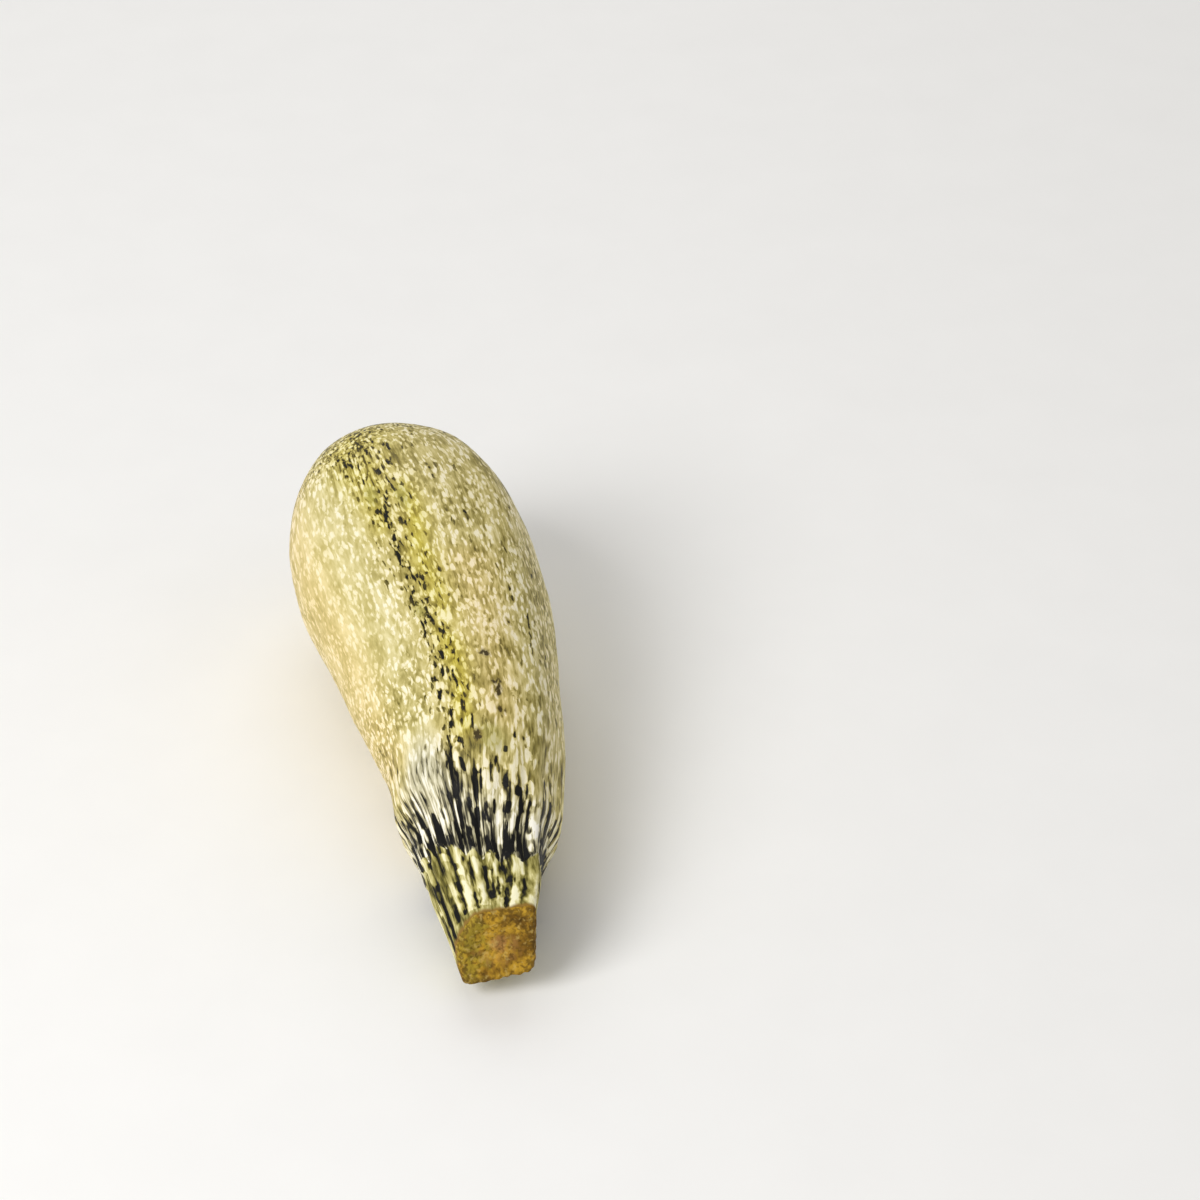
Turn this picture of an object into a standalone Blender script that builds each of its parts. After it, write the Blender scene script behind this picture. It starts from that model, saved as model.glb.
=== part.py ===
"""A grey zucchini as picked: one solid fruit with its stub of cut stem, resting on its side.

The fruit is a stack of rings along a gently bent axis. The axis runs from the blossom scar to the
cut stem, and dips towards the stem because the fruit tapers that way. The lowest skin is pressed
into a small flat spot. +X runs from the blossom end to the stem, +Z is up, and the origin is on
the surface that the fruit rests on, under the middle of its box.
"""

import math

import bmesh
import bpy
from mathutils import Matrix, Vector

MM = 0.001
UP = Vector((0, 0, 1))

# Driving dimensions
LENGTH = 158.6 * MM  # from the blossom scar to the middle of the cut stem, along the axis
RESTING_DIP = math.radians(7.5)  # the axis points this far down towards the stem
FLAT_SPOT_DEPTH = 0.6 * MM  # how much of the lowest skin is pressed flat
SIDE_BEND = 10.4 * MM  # how far the middle of the axis bows towards +Y
SIDE_SWAY = -0.6 * MM  # a weaker second bow, one way and then the other
TIP_SWING = 6.1 * MM  # how far the blossom end turns back towards +Y
TIP_SWING_POWER = 4
STEM_SWING = 3.8 * MM  # how far the stem turns towards +Y
STEM_SWING_POWER = 8
NECK_BOW = 1.2 * MM  # how far the neck bows the other way before it
NECK_START = 100 * MM  # the neck's bow runs from here to the cut

# Outline of the fruit, in millimetres, as (distance along the axis, radius)
SCAR_OUTLINE = ((0.9, 0), (0.7, 2.2), (0.1, 4.2), (-0.1, 5.2), (0.5, 6.4))
BODY_OUTLINE = (
    (1.6, 9.5),
    (4, 13.8),
    (9, 19),
    (17, 23.5),
    (28, 26.6),
    (42, 27.9),
    (58, 26.6),
    (76, 24.1),
    (94, 21.5),
)
SHOULDER_OUTLINE = ((110, 19.2), (121, 17.9), (127, 15.4), (132, 13.1), (136, 12.1))
STEM_OUTLINE = ((139, 11.7), (145, 10.5), (151, 9.4), (157.4, 8.6))
CUT_OUTLINE = ((158.6, 7.9), (158.6, 6.5), (158.1, 4.2), (157.8, 1.8))

# The stem has five uneven corners, and each runs on along the fruit as a faint rib.
# A corner is (angle from straight up towards +Y, reach as a share of the radius), and
# ridges stand on the corners and between them.
CORNERS = ((-30, 1.05), (42, 1.5), (124, 1.1), (220, 1.3), (273, 1.02))
RIDGES_AFTER_CORNER = (4, 5, 5, 3, 3)
STEPS_PER_RIDGE = 4
CORNER_SHARPNESS = 10
BODY_CORNER_SHARE = 0.12  # how much of the corners shows on the body
CORNERS_START = 112 * MM  # the corners grow from here to the stem
CORNERS_END = 150 * MM

RIDGE_HEIGHT = 0.42 * MM  # from the mean surface to a crest
RIDGES_START = 98 * MM  # the ridges grow from here over the shoulder
RIDGES_END = 132 * MM
RIDGE_AT_CUT = 0.3  # share of the ridges' height that is left at the cut
RIDGES_FADE = 3 * MM  # the ridges die away over this radius on the cut face

# The collar, where skin gives way to stem, sits askew: further along on the +Y side, and
# it reaches down the stem on the upper side
COLLAR_SLANT = 3.6 * MM
COLLAR_TONGUE = 6 * MM
TONGUE_TURN = math.radians(15)  # from straight up towards +Y
SLANT_START = 85 * MM
COLLAR = 137 * MM
SLANT_FULL = 122 * MM
SCALLOP = 0.8 * MM  # how far the skin reaches down the stem between the ridges
SCALLOP_WIDTH = 3.5 * MM

# The knife went through the stem at a slant, so the cut face looks a little upwards
CUT_SLANT = math.radians(19)
CUT_SLANT_TURN = math.radians(-20)  # from straight up towards +Y
CUT_START = 148 * MM  # the slant grows from here to the cut

# Broad unevenness of the skin, as (height, waves along the fruit, waves around it, phase)
SWELLS = ((0.3 * MM, 1.5, 2, 3.5), (0.2 * MM, 2.5, 3, 2.1), (0.1 * MM, 4, 1, 4))

BODY_STEPS = 2  # rings to each span of the skin and stem outlines
SLOPE_STEP = 0.1 * MM  # the axis' direction is taken over this much to each side
SHARP_EDGE = math.radians(50)  # edges that turn more than this are shaded sharp


def smooth_step(value, low, high):
    """0 up to low, 1 from high on, and a smooth rise between them."""
    share = min(1.0, max(0.0, (value - low) / (high - low)))
    return share * share * (3 - 2 * share)


def curve_through(points, steps):
    """Points on a Catmull-Rom curve through these points, with so many steps to each span."""
    ends = [2 * points[0] - points[1], *points, 2 * points[-1] - points[-2]]
    curve = []
    for before, start, end, after in zip(ends, ends[1:], ends[2:], ends[3:]):
        for step in range(steps):
            t = step / steps
            slope = (end - before) * t
            bend = (2 * before - 5 * start + 4 * end - after) * t**2
            twist = (3 * start - before - 3 * end + after) * t**3
            curve.append(start + (slope + bend + twist) / 2)
    return [*curve, points[-1]]


def outline():
    """(distance along the axis, radius, section) of each ring, from the blossom scar to the cut."""
    sections = (
        ("scar", SCAR_OUTLINE[1:], 1),
        ("skin", BODY_OUTLINE + SHOULDER_OUTLINE, BODY_STEPS),
        ("stem", STEM_OUTLINE, BODY_STEPS),
        ("cut", CUT_OUTLINE, 1),
    )
    rings = []
    for section, points, steps in sections:
        for point in curve_through([Vector(point) * MM for point in points], steps):
            rings.append((point.x, point.y, section))
    return rings


def ring_angles():
    """The angle round the axis of each vertex of a ring, with a vertex on every ridge and groove."""
    angles = []
    following = (*CORNERS[1:], (CORNERS[0][0] + 360, CORNERS[0][1]))
    for (start, _), (end, _), ridges in zip(CORNERS, following, RIDGES_AFTER_CORNER):
        steps = ridges * STEPS_PER_RIDGE
        for step in range(steps):
            angles.append(math.radians(start + (end - start) * step / steps))
    return angles


def corner_reach(around):
    """Radius of the five-sided outline with rounded corners, as a share of the round one."""
    following = (*CORNERS[1:], CORNERS[0])
    total = 0
    for (start, start_reach), (end, end_reach) in zip(CORNERS, following):
        width = math.radians((end - start) % 360)
        turned = around - math.radians(start)
        closeness = math.sin(width - turned) / start_reach + math.sin(turned) / end_reach
        total += max(0.0, closeness / math.sin(width)) ** CORNER_SHARPNESS
    return total ** (-1 / CORNER_SHARPNESS)


def side_offset(along):
    """How far the axis lies towards +Y: one long bow, with a turn at each end and a slight neck."""
    share = along / LENGTH
    neck = min(1.0, max(0.0, (along - NECK_START) / (LENGTH - NECK_START)))
    bow = SIDE_BEND * math.sin(math.pi * share) + SIDE_SWAY * math.sin(math.tau * share)
    ends = TIP_SWING * (1 - share) ** TIP_SWING_POWER + STEM_SWING * share**STEM_SWING_POWER
    return bow + ends - NECK_BOW * math.sin(math.pi * neck) ** 2


def axis_at(along):
    """(point, direction, sideways) of the fruit's axis, before the fruit is laid down."""
    slope = (side_offset(along + SLOPE_STEP) - side_offset(along - SLOPE_STEP)) / (2 * SLOPE_STEP)
    direction = Vector((1, slope, 0)).normalized()
    return Vector((along, side_offset(along), 0)), direction, Vector((-direction.y, direction.x, 0))


def reach_of(along, radius, around, crest):
    """Distance from the axis to the surface. crest is 1 on a ridge and -1 in a groove."""
    corners = BODY_CORNER_SHARE + (1 - BODY_CORNER_SHARE) * smooth_step(along, CORNERS_START, CORNERS_END)
    shaped = radius * (1 + corners * (corner_reach(around) - 1))
    ridges = smooth_step(along, RIDGES_START, RIDGES_END)
    ridge = RIDGE_HEIGHT * (1 - (1 - RIDGE_AT_CUT) * smooth_step(along, COLLAR, LENGTH))
    swells = sum(
        height * math.sin(math.tau * waves * along / LENGTH + phase) * math.cos(count * around + phase)
        for height, waves, count, phase in SWELLS
    )
    relief = ridge * crest * ridges + swells * (1 - ridges)
    near_rim = smooth_step(radius, CUT_OUTLINE[0][1] * MM - RIDGES_FADE, CUT_OUTLINE[0][1] * MM)
    return shaped + relief * near_rim


def shift_along(along, reach, around, crest):
    """How far a point moves along the axis, for the askew scalloped collar and the slanted cut."""
    after_cut = smooth_step(along, CUT_START, LENGTH)
    slanted = smooth_step(along, SLANT_START, SLANT_FULL) * (1 - smooth_step(along, COLLAR, LENGTH))
    tongue = COLLAR_TONGUE * max(0.0, math.cos(around - TONGUE_TURN)) ** 2
    scallops = SCALLOP * crest * max(0.0, 1 - abs(along - COLLAR) / SCALLOP_WIDTH)
    cut = math.tan(CUT_SLANT) * reach * math.cos(around - CUT_SLANT_TURN) * after_cut
    return (COLLAR_SLANT * math.sin(around) + tongue) * slanted - scallops - cut


def add_ring(mesh, along, radius):
    """A closed loop of vertices round the axis."""
    centre, direction, sideways = axis_at(along)
    loop = []
    for step, around in enumerate(ring_angles()):
        crest = math.cos(math.tau * step / STEPS_PER_RIDGE)
        reach = reach_of(along, radius, around, crest)
        outwards = math.cos(around) * UP + math.sin(around) * sideways
        shift = shift_along(along, reach, around, crest)
        loop.append(mesh.verts.new(centre + outwards * reach + direction * shift))
    return loop


def join_rings(mesh, ring, following, material):
    """A band of quads between two rings."""
    for step, vertex in enumerate(ring):
        quad = (ring[step - 1], vertex, following[step], following[step - 1])
        mesh.faces.new(quad).material_index = material


def close_end(mesh, ring, along, material):
    """A fan of triangles from a ring to the middle of an end."""
    middle = mesh.verts.new(axis_at(along)[0])
    for step, vertex in enumerate(ring):
        mesh.faces.new((ring[step - 1], vertex, middle)).material_index = material


def fruit_surface(mesh, material_of):
    """The closed skin, stem and cut face, with the axis level along X."""
    rings = outline()
    loops = [add_ring(mesh, along, radius) for along, radius, _ in rings]
    for ring, following, (_, _, section) in zip(loops, loops[1:], rings[1:]):
        join_rings(mesh, ring, following, material_of[section])
    close_end(mesh, loops[0], SCAR_OUTLINE[0][0] * MM, material_of["scar"])
    close_end(mesh, loops[-1], CUT_OUTLINE[-1][0] * MM, material_of["cut"])
    bmesh.ops.recalc_face_normals(mesh, faces=mesh.faces)


def lay_down(mesh):
    """Tips the fruit to how it rests, presses its lowest skin flat and centres its box."""
    bmesh.ops.transform(mesh, matrix=Matrix.Rotation(RESTING_DIP, 4, "Y"), verts=mesh.verts)
    lowest = min(vertex.co.z for vertex in mesh.verts)
    bmesh.ops.translate(mesh, vec=(0, 0, -lowest - FLAT_SPOT_DEPTH), verts=mesh.verts)
    everything = [*mesh.verts, *mesh.edges, *mesh.faces]
    below = {"plane_co": (0, 0, 0), "plane_no": (0, 0, -1), "clear_outer": True}
    cut = bmesh.ops.bisect_plane(mesh, geom=everything, **below)
    rim = [item for item in cut["geom_cut"] if isinstance(item, bmesh.types.BMEdge)]
    bmesh.ops.edgeloop_fill(mesh, edges=rim)
    bmesh.ops.recalc_face_normals(mesh, faces=mesh.faces)
    xs = [vertex.co.x for vertex in mesh.verts]
    ys = [vertex.co.y for vertex in mesh.verts]
    middle = Vector((min(xs) + max(xs), min(ys) + max(ys), 0)) / 2
    bmesh.ops.translate(mesh, vec=-middle, verts=mesh.verts)


def plant_material(name, colour, roughness):
    """A plain Principled material."""
    material = bpy.data.materials.new(name)
    material.use_nodes = True
    shader = material.node_tree.nodes["Principled BSDF"]
    shader.inputs["Base Color"].default_value = (*colour, 1)
    shader.inputs["Roughness"].default_value = roughness
    shader.inputs["Metallic"].default_value = 0
    return material


def make_zucchini():
    """The whole fruit as one object."""
    materials = {
        "skin": plant_material("skin", (0.46, 0.45, 0.19), 0.4),
        "scar": plant_material("blossom_scar", (0.45, 0.30, 0.18), 0.8),
        "stem": plant_material("stem", (0.35, 0.40, 0.14), 0.55),
        "cut": plant_material("cut_face", (0.25, 0.20, 0.06), 0.85),
    }
    surface = bmesh.new()
    fruit_surface(surface, {name: index for index, name in enumerate(materials)})
    lay_down(surface)
    mesh = bpy.data.meshes.new("zucchini")
    surface.to_mesh(mesh)
    surface.free()
    for material in materials.values():
        mesh.materials.append(material)
    mesh.shade_smooth()
    mesh.set_sharp_from_angle(angle=SHARP_EDGE)
    zucchini = bpy.data.objects.new("zucchini", mesh)
    bpy.context.scene.collection.objects.link(zucchini)
    return zucchini


def main():
    for old in list(bpy.data.objects):
        bpy.data.objects.remove(old)
    make_zucchini()


main()
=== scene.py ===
"""The zucchini's finished surface: a fine mesh over the part's own outline, with its skin, stem and scars.

Lengths are in millimetres and angles in degrees until the mesh is made. A place on the fruit is
(distance along its axis from the blossom scar, angle round the axis from straight up towards +Y).
"""

import math

import bpy
import numpy as np
from mathutils import Matrix, Vector


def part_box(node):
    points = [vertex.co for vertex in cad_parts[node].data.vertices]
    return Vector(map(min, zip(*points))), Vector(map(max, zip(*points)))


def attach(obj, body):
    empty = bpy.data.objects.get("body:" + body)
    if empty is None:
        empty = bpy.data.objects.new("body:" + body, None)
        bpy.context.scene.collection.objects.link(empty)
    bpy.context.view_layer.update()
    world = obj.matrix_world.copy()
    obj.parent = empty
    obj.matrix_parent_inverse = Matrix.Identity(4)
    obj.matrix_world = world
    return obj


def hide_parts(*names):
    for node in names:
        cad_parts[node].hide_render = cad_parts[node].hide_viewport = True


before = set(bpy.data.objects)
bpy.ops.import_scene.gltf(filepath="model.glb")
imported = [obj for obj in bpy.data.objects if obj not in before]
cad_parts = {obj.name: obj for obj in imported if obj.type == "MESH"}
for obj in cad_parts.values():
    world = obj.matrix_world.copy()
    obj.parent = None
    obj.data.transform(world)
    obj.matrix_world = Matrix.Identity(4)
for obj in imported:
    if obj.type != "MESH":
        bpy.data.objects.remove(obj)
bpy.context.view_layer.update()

MM = 0.001
NODE = "zucchini"

# The part's driving dimensions
LENGTH = 158.6
RESTING_DIP = 7.5
SIDE_BEND = 10.4
SIDE_SWAY = -0.6
TIP_SWING = 6.1
TIP_SWING_POWER = 4
STEM_SWING = 3.8
STEM_SWING_POWER = 8
NECK_BOW = 1.2
NECK_START = 100
FLAT_SPOT_DEPTH = 0.6

# Outline as (distance along the axis, radius)
SCAR_OUTLINE = ((0.8, 0.4), (0.7, 2.2), (0.1, 4.2), (-0.1, 5.2), (0.5, 6.4))
BODY_OUTLINE = (
    (1.6, 9.5), (4, 13.8), (9, 19), (17, 23.5), (28, 26.6), (42, 27.9), (58, 26.6), (76, 24.1), (94, 21.5)
)
SHOULDER_OUTLINE = ((110, 19.2), (121, 17.9), (127, 15.4), (132, 13.1), (136, 12.1))
STEM_OUTLINE = ((139, 11.7), (145, 10.5), (151, 9.4), (157.4, 8.6))
CUT_OUTLINE = ((158.6, 7.9), (158.6, 6.5), (158.1, 4.2), (157.8, 1.8), (157.7, 0.4))

# Corners of the stem as (angle, reach as a share of the radius), with ridges on and between them
CORNERS = ((-30, 1.05), (42, 1.5), (124, 1.1), (220, 1.3), (273, 1.02))
RIDGES_AFTER_CORNER = (4, 5, 5, 3, 3)
RIDGES = sum(RIDGES_AFTER_CORNER)
CORNER_SHARPNESS = 10
BODY_CORNER_SHARE = 0.12
CORNERS_SPAN = (112, 150)
RIDGE_HEIGHT = 0.42
RIDGE_AT_CUT = 0.3
RIDGES_SPAN = (98, 132)
RIDGES_FADE = 3
COLLAR = 137
COLLAR_SLANT = 3.6
COLLAR_TONGUE = 6
TONGUE_TURN = 15
SLANT_SPAN = (85, 122)
SCALLOP = 0.8
SCALLOP_WIDTH = 3.5
CUT_SLANT = 19
CUT_SLANT_TURN = -20
CUT_START = 148
SWELLS = ((0.3, 1.5, 2, 3.5), (0.2, 2.5, 3, 2.1), (0.1, 4, 1, 4))

# The fine mesh
STEPS_PER_RIDGE = 16
CURVE_STEPS = 24
SLOPE_STEP = 0.1
WIDE_SPACING = 0.8
CLOSER_AT_STEM = 0.36
CLOSER_AT_SCAR = 0.25

# Relief finer than the part's own, as (height, size, seed)
SKIN_WAVES = (0.13, 17, 3)
SKIN_DIMPLES = (0.035, 3.2, 5)
CUT_FIBRES = (0.13, 1.6, 7)
SCAR_WRINKLES = (0.1, 1.5, 9)
RELIEF_WAVES = 24
STREAK_RELIEF = 0.1
LIP_HEIGHT = 0.5
SPOT_DEPTH = 0.18

# Markings along the skin and stem, with two patches of painted shade among them, as (start, end, angle at
# the start, turn, width, strength)
DARK_MARKS = (
    (25, 37, -22.5, 0.5, 0.58, 0.75), (38, 45, -24, 0.5, 0.5, 0.6), (22, 29, -29, 2, 0.5, 0.6),
    (23, 35, -35, 3, 0.58, 0.55), (28, 30.5, -15.5, 0, 0.58, 0.85), (36, 38.5, -15, -1, 0.58, 0.8),
    (41.5, 44.5, -14.5, -0.5, 0.58, 0.8), (35, 42, -12, 2, 0.58, 0.65), (30, 34.5, -6.5, -0.5, 0.58, 0.75),
    (37, 42, -6.5, 0, 0.58, 0.7), (45, 49.5, -12, 3, 0.58, 0.65), (46.8, 49.6, -18, 0, 0.65, 0.95),
    (50.4, 52.8, -18.5, 0, 0.58, 0.95), (53.3, 57, -17.5, -1, 0.65, 0.95), (57, 64.5, -20, 1, 0.79, 1.0),
    (56, 59.5, -13, 1, 0.5, 0.75), (60, 62.5, -15, 0, 0.43, 0.65), (64, 67, -25.5, 0, 0.43, 0.6),
    (65.5, 68, -19.5, 0, 0.58, 0.85), (64, 69.5, -17.5, 1.5, 0.58, 0.9), (72, 75.5, -16.8, 0, 0.43, 0.7),
    (76, 82, -14, 0, 0.36, 0.6), (71, 81, 5, -4, 0.36, 0.6), (77.5, 84, -17.5, -1, 0.65, 0.8),
    (80, 88.5, -20, 0.5, 0.5, 0.75), (84, 87.5, -9.5, 0, 0.43, 0.7), (89.3, 92.3, -13, -1, 0.79, 1.0),
    (88, 90.2, -10.5, 0, 0.5, 0.95), (89.8, 91.3, -7.5, 0, 0.65, 0.9), (92.5, 96, -15.5, 0, 0.72, 1.0),
    (94.3, 98, -10, 0, 0.58, 0.95), (91.5, 95.5, -7.5, 0, 0.36, 0.6), (95, 97.2, -21.3, 0, 0.58, 0.9),
    (98.3, 100.6, -20.3, -1, 0.94, 1.0), (100.5, 101.8, -22, 0, 0.72, 0.9),
    (98.5, 101, -15.5, 0, 0.36, 0.6), (97.8, 99.8, -8.5, 0, 0.58, 0.9), (102, 105.5, -7, 1, 0.5, 0.8),
    (103.3, 106.5, -15.3, 0, 0.79, 1.0), (102.5, 104.2, 3, 0, 0.43, 0.75), (78, 91, 41, -1, 0.58, 0.65),
    (72, 80, 32, 1.5, 0.72, 0.6), (100.3, 101.6, 32.5, 0, 0.58, 0.75), (107.3, 109.3, -16.5, 0, 0.79, 1.0),
    (110.6, 113.4, -17.8, 0, 0.8, 1.1), (110.9, 112.8, -12.2, 0, 0.8, 0.95),
    (112.4, 118.5, -18.4, 0.5, 1.0, 1.25), (117, 126, -17.5, 2.5, 1.4, 1.3),
    (125.5, 132, -15, -1.5, 0.9, 1.15), (105, 109.3, -2.5, 0, 0.43, 0.8), (108, 109.3, 24.5, 0, 0.58, 0.85),
    (108.4, 110.8, 31, 0, 0.8, 0.8), (111.3, 112.6, 18.5, 0, 0.9, 0.85), (116, 119.7, -12, 4, 0.8, 1.0),
    (118, 126, -2.5, 0.5, 0.6, 0.95), (117.2, 119.4, 5, -5, 0.7, 0.9), (119.7, 123, 2, 0.5, 0.5, 0.95),
    (116, 121, 8.7, 0, 0.6, 0.9), (113.5, 118, 12.8, 0, 0.6, 0.95), (116.2, 121, 18.7, 0, 0.8, 1.05),
    (120, 122.8, 25, 1, 0.8, 1.0), (120, 126.2, 28.5, 1, 1.0, 1.05), (118.4, 123, 33, 0, 0.7, 1.0),
    (123, 131, 34.5, 1.5, 0.6, 1.0), (125, 131, -7.5, 1, 0.8, 0.95), (126, 132.5, -2, 0, 0.7, 0.95),
    (125, 129.5, 4.8, 0.5, 0.8, 1.0), (124, 127.5, 11, 0, 0.6, 0.95), (124.2, 127, 20, 0, 1.3, 0.9),
    # (121, 125, 43) at the end of the next line is painted shade on the +Y side
    (124, 130.5, 28, 0, 0.8, 0.95), (128, 133, 19, -1, 0.8, 0.9), (121, 125, 43, -2, 1.1, 0.65),
    (131, 136.5, -11, 0, 1.0, 1.0), (132, 137, 2, 1, 1.0, 0.9), (133, 137, 9, 0, 1.1, 0.9),
    (133, 137, 15, 0, 0.95, 1.0), (133, 136.5, 22, 0, 0.9, 0.9), (132.5, 135.5, 29, 0, 0.85, 1.0),
    (131, 136, 24.5, 0, 0.7, 0.8), (134, 137, 36, 0, 0.8, 0.8), (127, 131.5, -64, 1, 1.0, 1.0),
    (131, 136, -61, 0, 0.9, 1.0), (128.8, 136.5, -44, 3, 0.95, 1.0), (134, 137, -48, 0, 1.0, 0.85),
    (128, 131, -33.5, 1, 0.9, 0.8), (125.5, 128, -44.5, 0, 0.7, 0.7), (134, 137.2, -32, 0, 1.1, 0.9),
    (135, 137.5, -22, 0, 0.9, 0.9), (130, 134, -22, 2, 0.8, 0.8), (127, 133, -72, 2, 0.9, 0.85),
    (126, 133, -79, 3, 1.0, 0.9), (125, 133, -87, 3, 1.1, 0.95), (124, 132, -94, 3, 0.9, 0.9),
    (121, 128, -55, 0, 0.5, 0.6), (117, 126, -50, 0, 0.5, 0.55), (113, 125, -45, 1, 0.5, 0.55),
    (116, 127, -40, 1, 0.5, 0.6), (112, 124, -35, 1, 0.5, 0.55), (118, 129, -31, 1, 0.5, 0.65),
    (114, 126, -27, 0, 0.5, 0.6), (120, 130, -24, 2, 0.5, 0.7), (136, 145, 20.5, -0.5, 0.8, 1.1),
    (144.5, 157, 20, -4, 0.7, 1.15), (136, 141, 10, -9, 0.9, 0.95), (136.5, 140.2, 15.5, 0, 0.8, 0.9),
    (142.2, 150, 9, -1, 0.5, 0.85), (139, 147, -3, 0, 0.6, 0.8), (147, 151.5, 0.5, 0, 0.7, 0.9),
    (137.8, 144, -16, -2, 0.8, 0.75), (143, 147, -20, 0, 1.0, 0.7), (148, 156, -21, -1, 0.6, 0.9),
    (140.8, 142.6, -34, 0, 1.3, 0.9), (143.5, 145.6, -33, 0, 1.3, 0.9), (146, 148, -36, 0, 1.6, 0.9),
    (145, 147.5, -40, 0, 1.5, 0.85), (149, 153, -38, 0, 1.2, 0.75), (148, 151, -46, 3, 0.8, 0.7),
    (149, 155, -62, 2, 2.4, 0.65), (141, 142.5, -56, 0, 1.8, 0.65), (143, 144.6, -77, 0, 1.4, 0.95),
    # (136.6, 138.8, -50) on the next line is a painted shadow under the collar's lower edge
    (137.5, 139.5, -77, 0, 1.4, 0.95), (136.6, 138.8, -50, 0, 1.5, 1.0), (134.5, 138.2, -61, 0, 1.4, 1.0),
    (136.3, 139.2, -71, 0, 1.3, 0.95), (153, 155, -43, 0, 1.2, 0.8), (141, 145.7, 23.5, 0, 0.5, 0.6),
    (142, 149, 31, 1.5, 0.7, 0.55), (146, 157.5, -80, 0, 0.7, 1.0), (148, 159, -99, 0, 1.1, 1.0),
    (139, 147, -88, 2, 0.6, 0.9), (138.5, 146, -24, -1, 0.5, 0.9), (147, 154, -14, -2, 0.5, 0.8),
    (138, 150, 4.5, -2, 0.5, 0.85),
)
PALE_MARKS = (
    (115, 120.3, -14, 1.5, 0.9, 1.0), (120, 124.3, -9, 3, 1.4, 0.9), (115.2, 122.8, 5.5, 1, 0.8, 1.0),
    (115, 120, 21.5, 2, 1.0, 1.0), (120, 127.5, 23.5, 3.5, 1.0, 1.0), (114.5, 121, 29.5, 1, 1.1, 1.0),
    (121, 129, 31, 3, 0.9, 1.0), (126, 132.5, 36.5, 1, 0.8, 1.0), (128.8, 130.3, 42, 0, 1.5, 0.9),
    (123.5, 127.5, 1, 0.5, 0.8, 0.9), (123.5, 126.3, 8.5, 0, 0.9, 0.9), (107, 110.8, -12, 0, 0.7, 0.8),
    (112.5, 116, 15.5, 0, 0.7, 0.8), (129, 135.3, -51, 1, 1.8, 1.0), (130, 134, -35.5, 0, 1.2, 0.9),
    (128, 133, -29.5, -1, 0.9, 0.8), (131, 135, -69, 1, 1.2, 0.9), (129, 135, -76, 2, 0.9, 0.9),
    (128, 134, -83, 2, 0.9, 0.9), (127, 133, -91, 2, 0.9, 0.8), (137, 149, -27.5, -1, 1.4, 0.9),
    (148, 155.5, -28.5, 0, 1.8, 1.0), (138.5, 155, -9, -1, 1.3, 1.1), (142.4, 147, 12, -1, 0.6, 0.9),
    (147, 153, 9.5, 0, 1.1, 0.7), (137, 157, 25, -2, 1.3, 1.15), (135.5, 142.5, 28.5, 1, 0.8, 0.9),
    (137.6, 140.6, 5, -2, 0.7, 0.9), (135, 139, 18.3, 0, 0.6, 0.9), (138.6, 140.5, -45, 0, 2.0, 0.85),
    (145, 148, -55, 0, 2.4, 0.7),
)

# Spots as (along, angle, length, width, strength)
BROWN_SPOTS = (
    (91.7, 10.5, 0.8, 1.4, 1.0), (97.9, 14.5, 0.8, 1.3, 0.9), (100, 15.3, 1.2, 1.0, 1.0),
    (103.8, 16.5, 0.8, 1.1, 1.0), (110.2, 0.5, 1.5, 1.2, 1.0), (83, 27.5, 1.0, 0.7, 0.7),
)
OLIVE_PATCHES = (
    (110, 9, 3.4, 3.6, 1.0), (41, -21, 4, 1.6, 1.0), (44, -8, 5, 1.8, 0.8), (77, -19, 2.4, 1.5, 0.9),
)

# The rest of the fruit's markings, drawn at random: on the other ribs, over the shoulder and down the stem
OTHER_RIBS = (124, 220)
RIB_SPAN = (24, 108)
RIB_DASH = (1.5, 5)
RIB_GAP = (0.5, 6)
HIDDEN_FROM, HIDDEN_TO = 48, 262
STREAK_SPACING = (5, 9)
MARKS_SEED = 11

# Directions in which the skin differs. The pale part is given as (direction, width in radians)
UPPER_SIDE = 14
PALE_SIDE = -38
PALE_PART = (-40, 0.4)

# How a mark fades at its ends and wanders to its sides
MARK_EDGE = 1.5
MARK_EDGE_SHARE = 0.45
MARK_WANDER = 0.12
MARK_WANDER_PACE = 1.7

# Gloss of every material, and the heights of their bumps
SHINE = 0.2
RIND_BUMP = 0.08
CUT_BUMP = 0.25
FLOOR_BUMP = 0.02

# The rind's pattern. Sizes are about millimetres round the fruit, and 2 to 4 times that along it
FLECK_SIZE = 1.0
FLECK_BEND = 0.7
DARK_FLECK_SIZE = 0.85
GROUP_SIZE = 3.2
PATCH_SIZE = 8
FIBRE_SIZE = 0.75
LINE_SIZE = 0.72
LINE_STRETCH = 0.11

# Distances past the collar over which the stem turns dry, and from the scar's middle over which it ends
DRY_START, DRY_END = 19.8, 21.2
SCAR_END, SCAR_START = 7.2, 6.7

# Colours by how dark the pattern is, as (level, screen colour)
SKIN_TONES = (
    (0.1, (250, 240, 206)), (0.32, (230, 216, 158)), (0.5, (198, 183, 114)),
    (0.68, (150, 136, 68)), (0.85, (72, 64, 24)), (1.0, (12, 12, 5)),
)
YELLOW_TONES = (
    (0.1, (246, 238, 168)), (0.32, (228, 216, 112)), (0.5, (194, 178, 66)),
    (0.68, (140, 124, 36)), (0.85, (74, 64, 16)), (1.0, (22, 20, 6)),
)
SHOULDER_TONES = (
    (0.1, (254, 250, 238)), (0.32, (230, 223, 192)), (0.5, (184, 176, 140)),
    (0.68, (122, 116, 88)), (0.85, (54, 51, 40)), (1.0, (7, 7, 6)),
)
STEM_TONES = (
    (0.1, (246, 240, 204)), (0.3, (220, 211, 152)), (0.5, (176, 166, 98)),
    (0.68, (120, 112, 50)), (0.85, (58, 54, 20)), (1.0, (9, 9, 5)),
)
# The warm tint is the skin's tan, and on the -Y flank partly a painted warm glow of bounced light
WARM_TAN_AND_GLOW_TINT = (1.05, 0.92, 0.8, 1)
COOL_TINT = (0.97, 1.0, 1.08, 1)

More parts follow.
